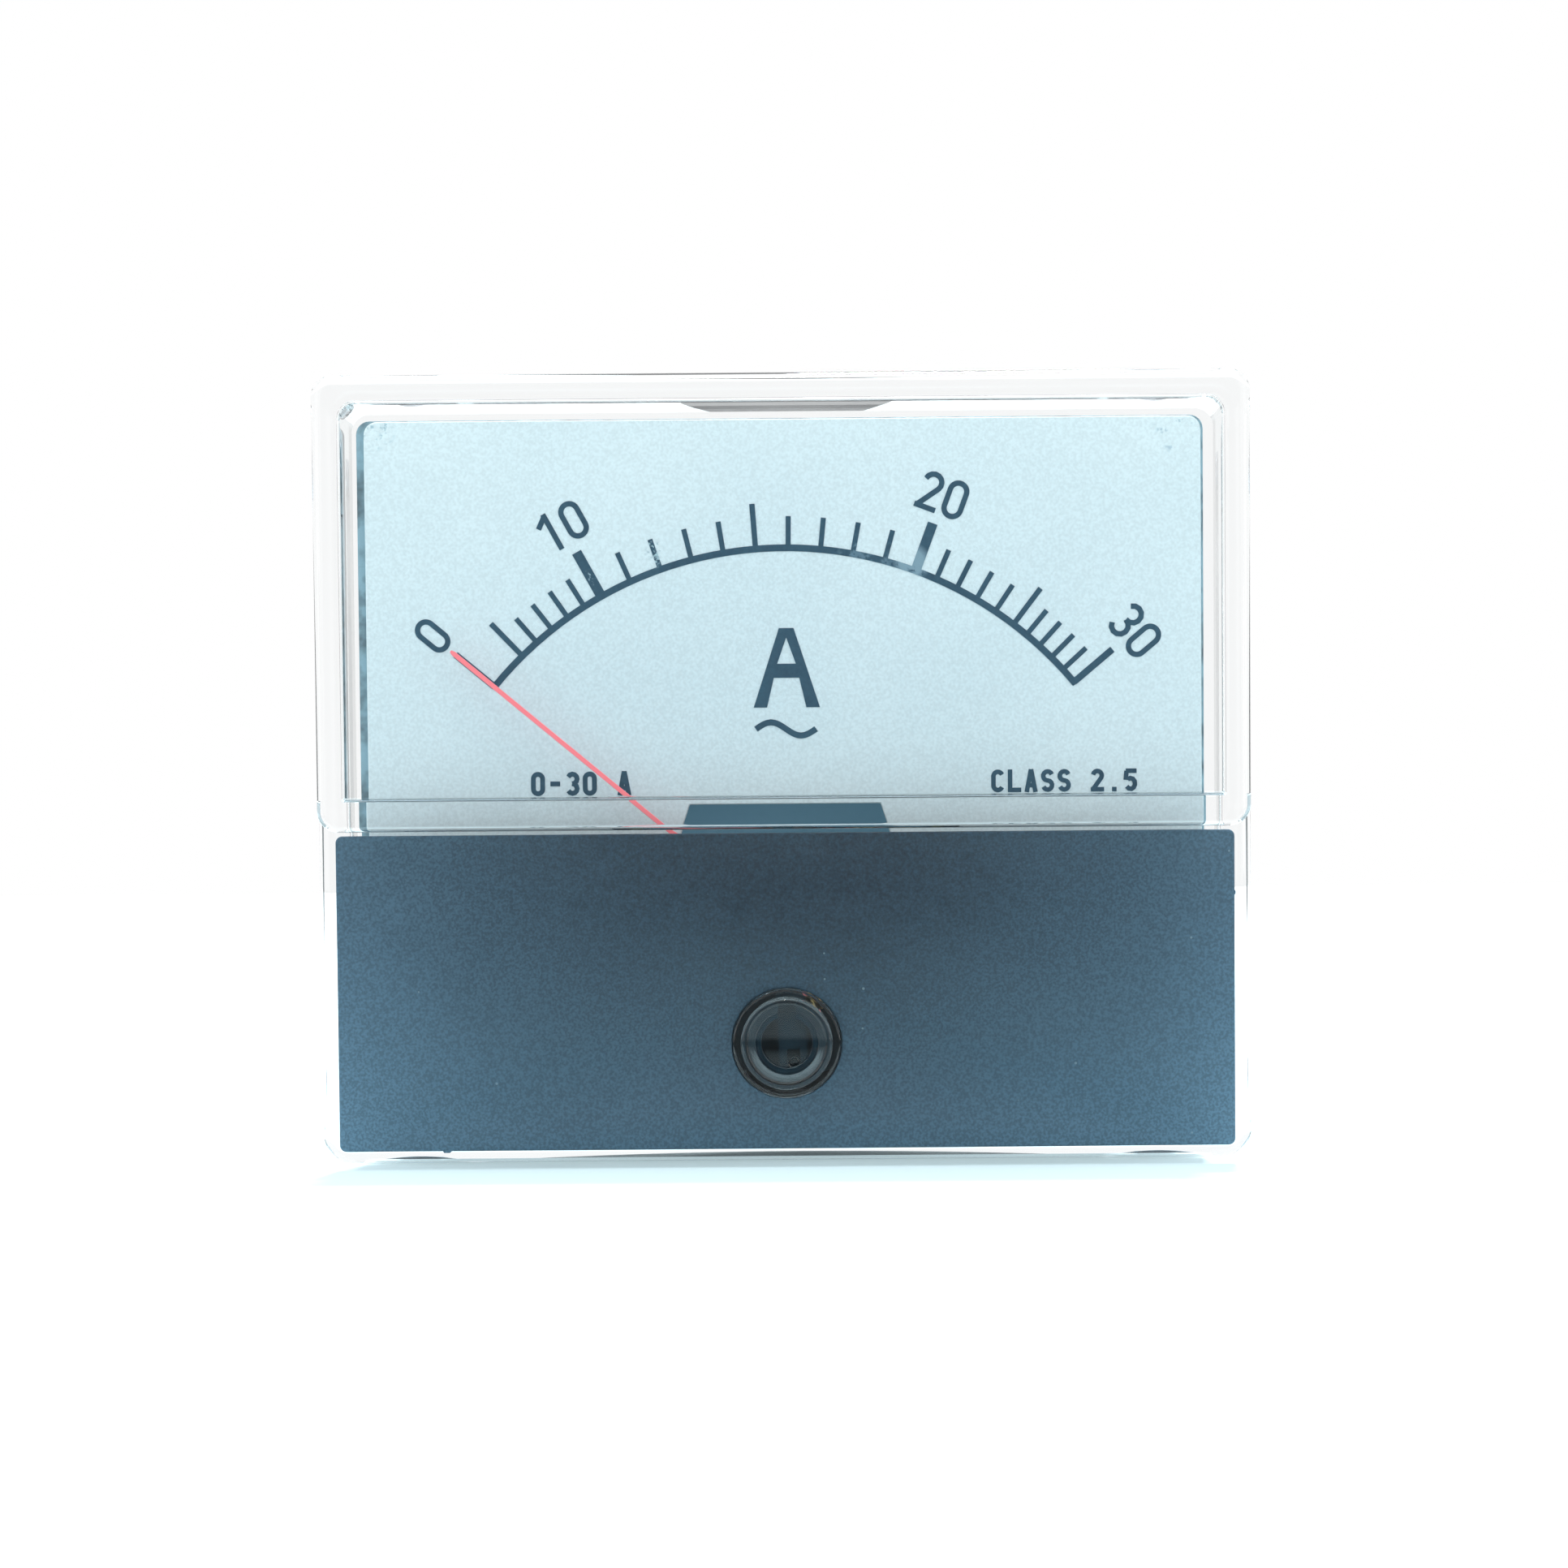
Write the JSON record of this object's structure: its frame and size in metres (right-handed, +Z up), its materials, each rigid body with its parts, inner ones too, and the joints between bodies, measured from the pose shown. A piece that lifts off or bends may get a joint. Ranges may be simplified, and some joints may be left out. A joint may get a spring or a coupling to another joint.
{
  "type": "analog panel meter",
  "caption": "Moving-iron panel ammeter: clear drop-front cover, black mask with zero adjuster, printed 0 to 30 dial, red pointer, round rear barrel with studs and screw terminals.",
  "frame": {"origin": "on the barrel's axis, in the plane of the rim that meets the panel", "axes": "+Y along the barrel, away from the window; +Z up the dial; +X to the right of someone facing the dial"},
  "size_m": [0.07, 0.062, 0.059],
  "materials": {
    "clear_cover": "gloss",
    "mask_black": "satin",
    "case_black": "satin",
    "dial_white": "satin",
    "ink": "matte",
    "steel": "satin",
    "zinc": "satin",
    "brass": "satin",
    "nickel_brass": "satin",
    "copper": "gloss",
    "soft_iron": "satin",
    "ivory_nylon": "satin",
    "pointer_red": "satin",
    "aluminium": "satin",
    "black_aluminium": "satin",
    "dark_steel": "satin",
    "spring_bronze": "satin",
    "clear_knob": "gloss"
  },
  "bodies": {
    "meter": {"front_cover": "clear_cover", "mask_plate": "mask_black", "rear_case": "case_black", "cover_screws": "zinc", "dial_plate": "dial_white", "scale_print": "ink", "dial_screws": "zinc", "front_bridge": "brass", "bridge_screws": "zinc", "stop_pins": "steel", "front_jewel_screw": "brass", "jewel_locknut": "brass", "rear_jewel_screw": "brass", "movement_frame": "black_aluminium", "frame_screws": "zinc", "damping_box": "case_black", "damping_lid": "case_black", "coil_bobbin": "ivory_nylon", "coil_winding": "copper", "coil_leads": "copper", "fixed_iron": "soft_iron", "mounting_studs": "zinc", "mounting_washers": "zinc", "mounting_nuts": "zinc", "terminal_studs": "nickel_brass", "terminal_washers": "nickel_brass", "terminal_spring_washers": "steel", "terminal_nuts": "nickel_brass"},
    "pointer_assembly": {"spindle": "steel", "pointer": "pointer_red", "pointer_bush": "brass", "balance_weights": "brass", "moving_iron": "soft_iron", "damping_vane": "aluminium", "spring_collet": "brass"},
    "zero_lever_body": {"zero_lever": "case_black", "hairspring": "spring_bronze"},
    "adjuster_knob": {"zero_adjuster": "clear_knob", "adjuster_clip": "dark_steel"}
  },
  "joints": [
    {"name": "pointer_swing", "type": "hinge", "parent": "meter", "child": "pointer_assembly", "pos_m": [0, 0, -0.0112], "axis": [0, 1, 0], "range_deg": [-2, 102.4], "stiffness_Nm_per_rad": 0.00005, "deforming": ["hairspring"]},
    {"name": "zero_adjust", "type": "hinge", "parent": "meter", "child": "adjuster_knob", "pos_m": [0, 0, -0.0198], "axis": [0, 1, 0], "range_deg": [-17, 53]},
    {"name": "zero_lever_turn", "type": "hinge", "parent": "meter", "child": "zero_lever_body", "pos_m": [0, 0, -0.0112], "axis": [0, 1, 0], "range_deg": [-2.95, 9]}
  ],
  "couplings": [
    {"joint": "zero_lever_turn", "follows": "zero_adjust", "ratio": 0.168}
  ]
}
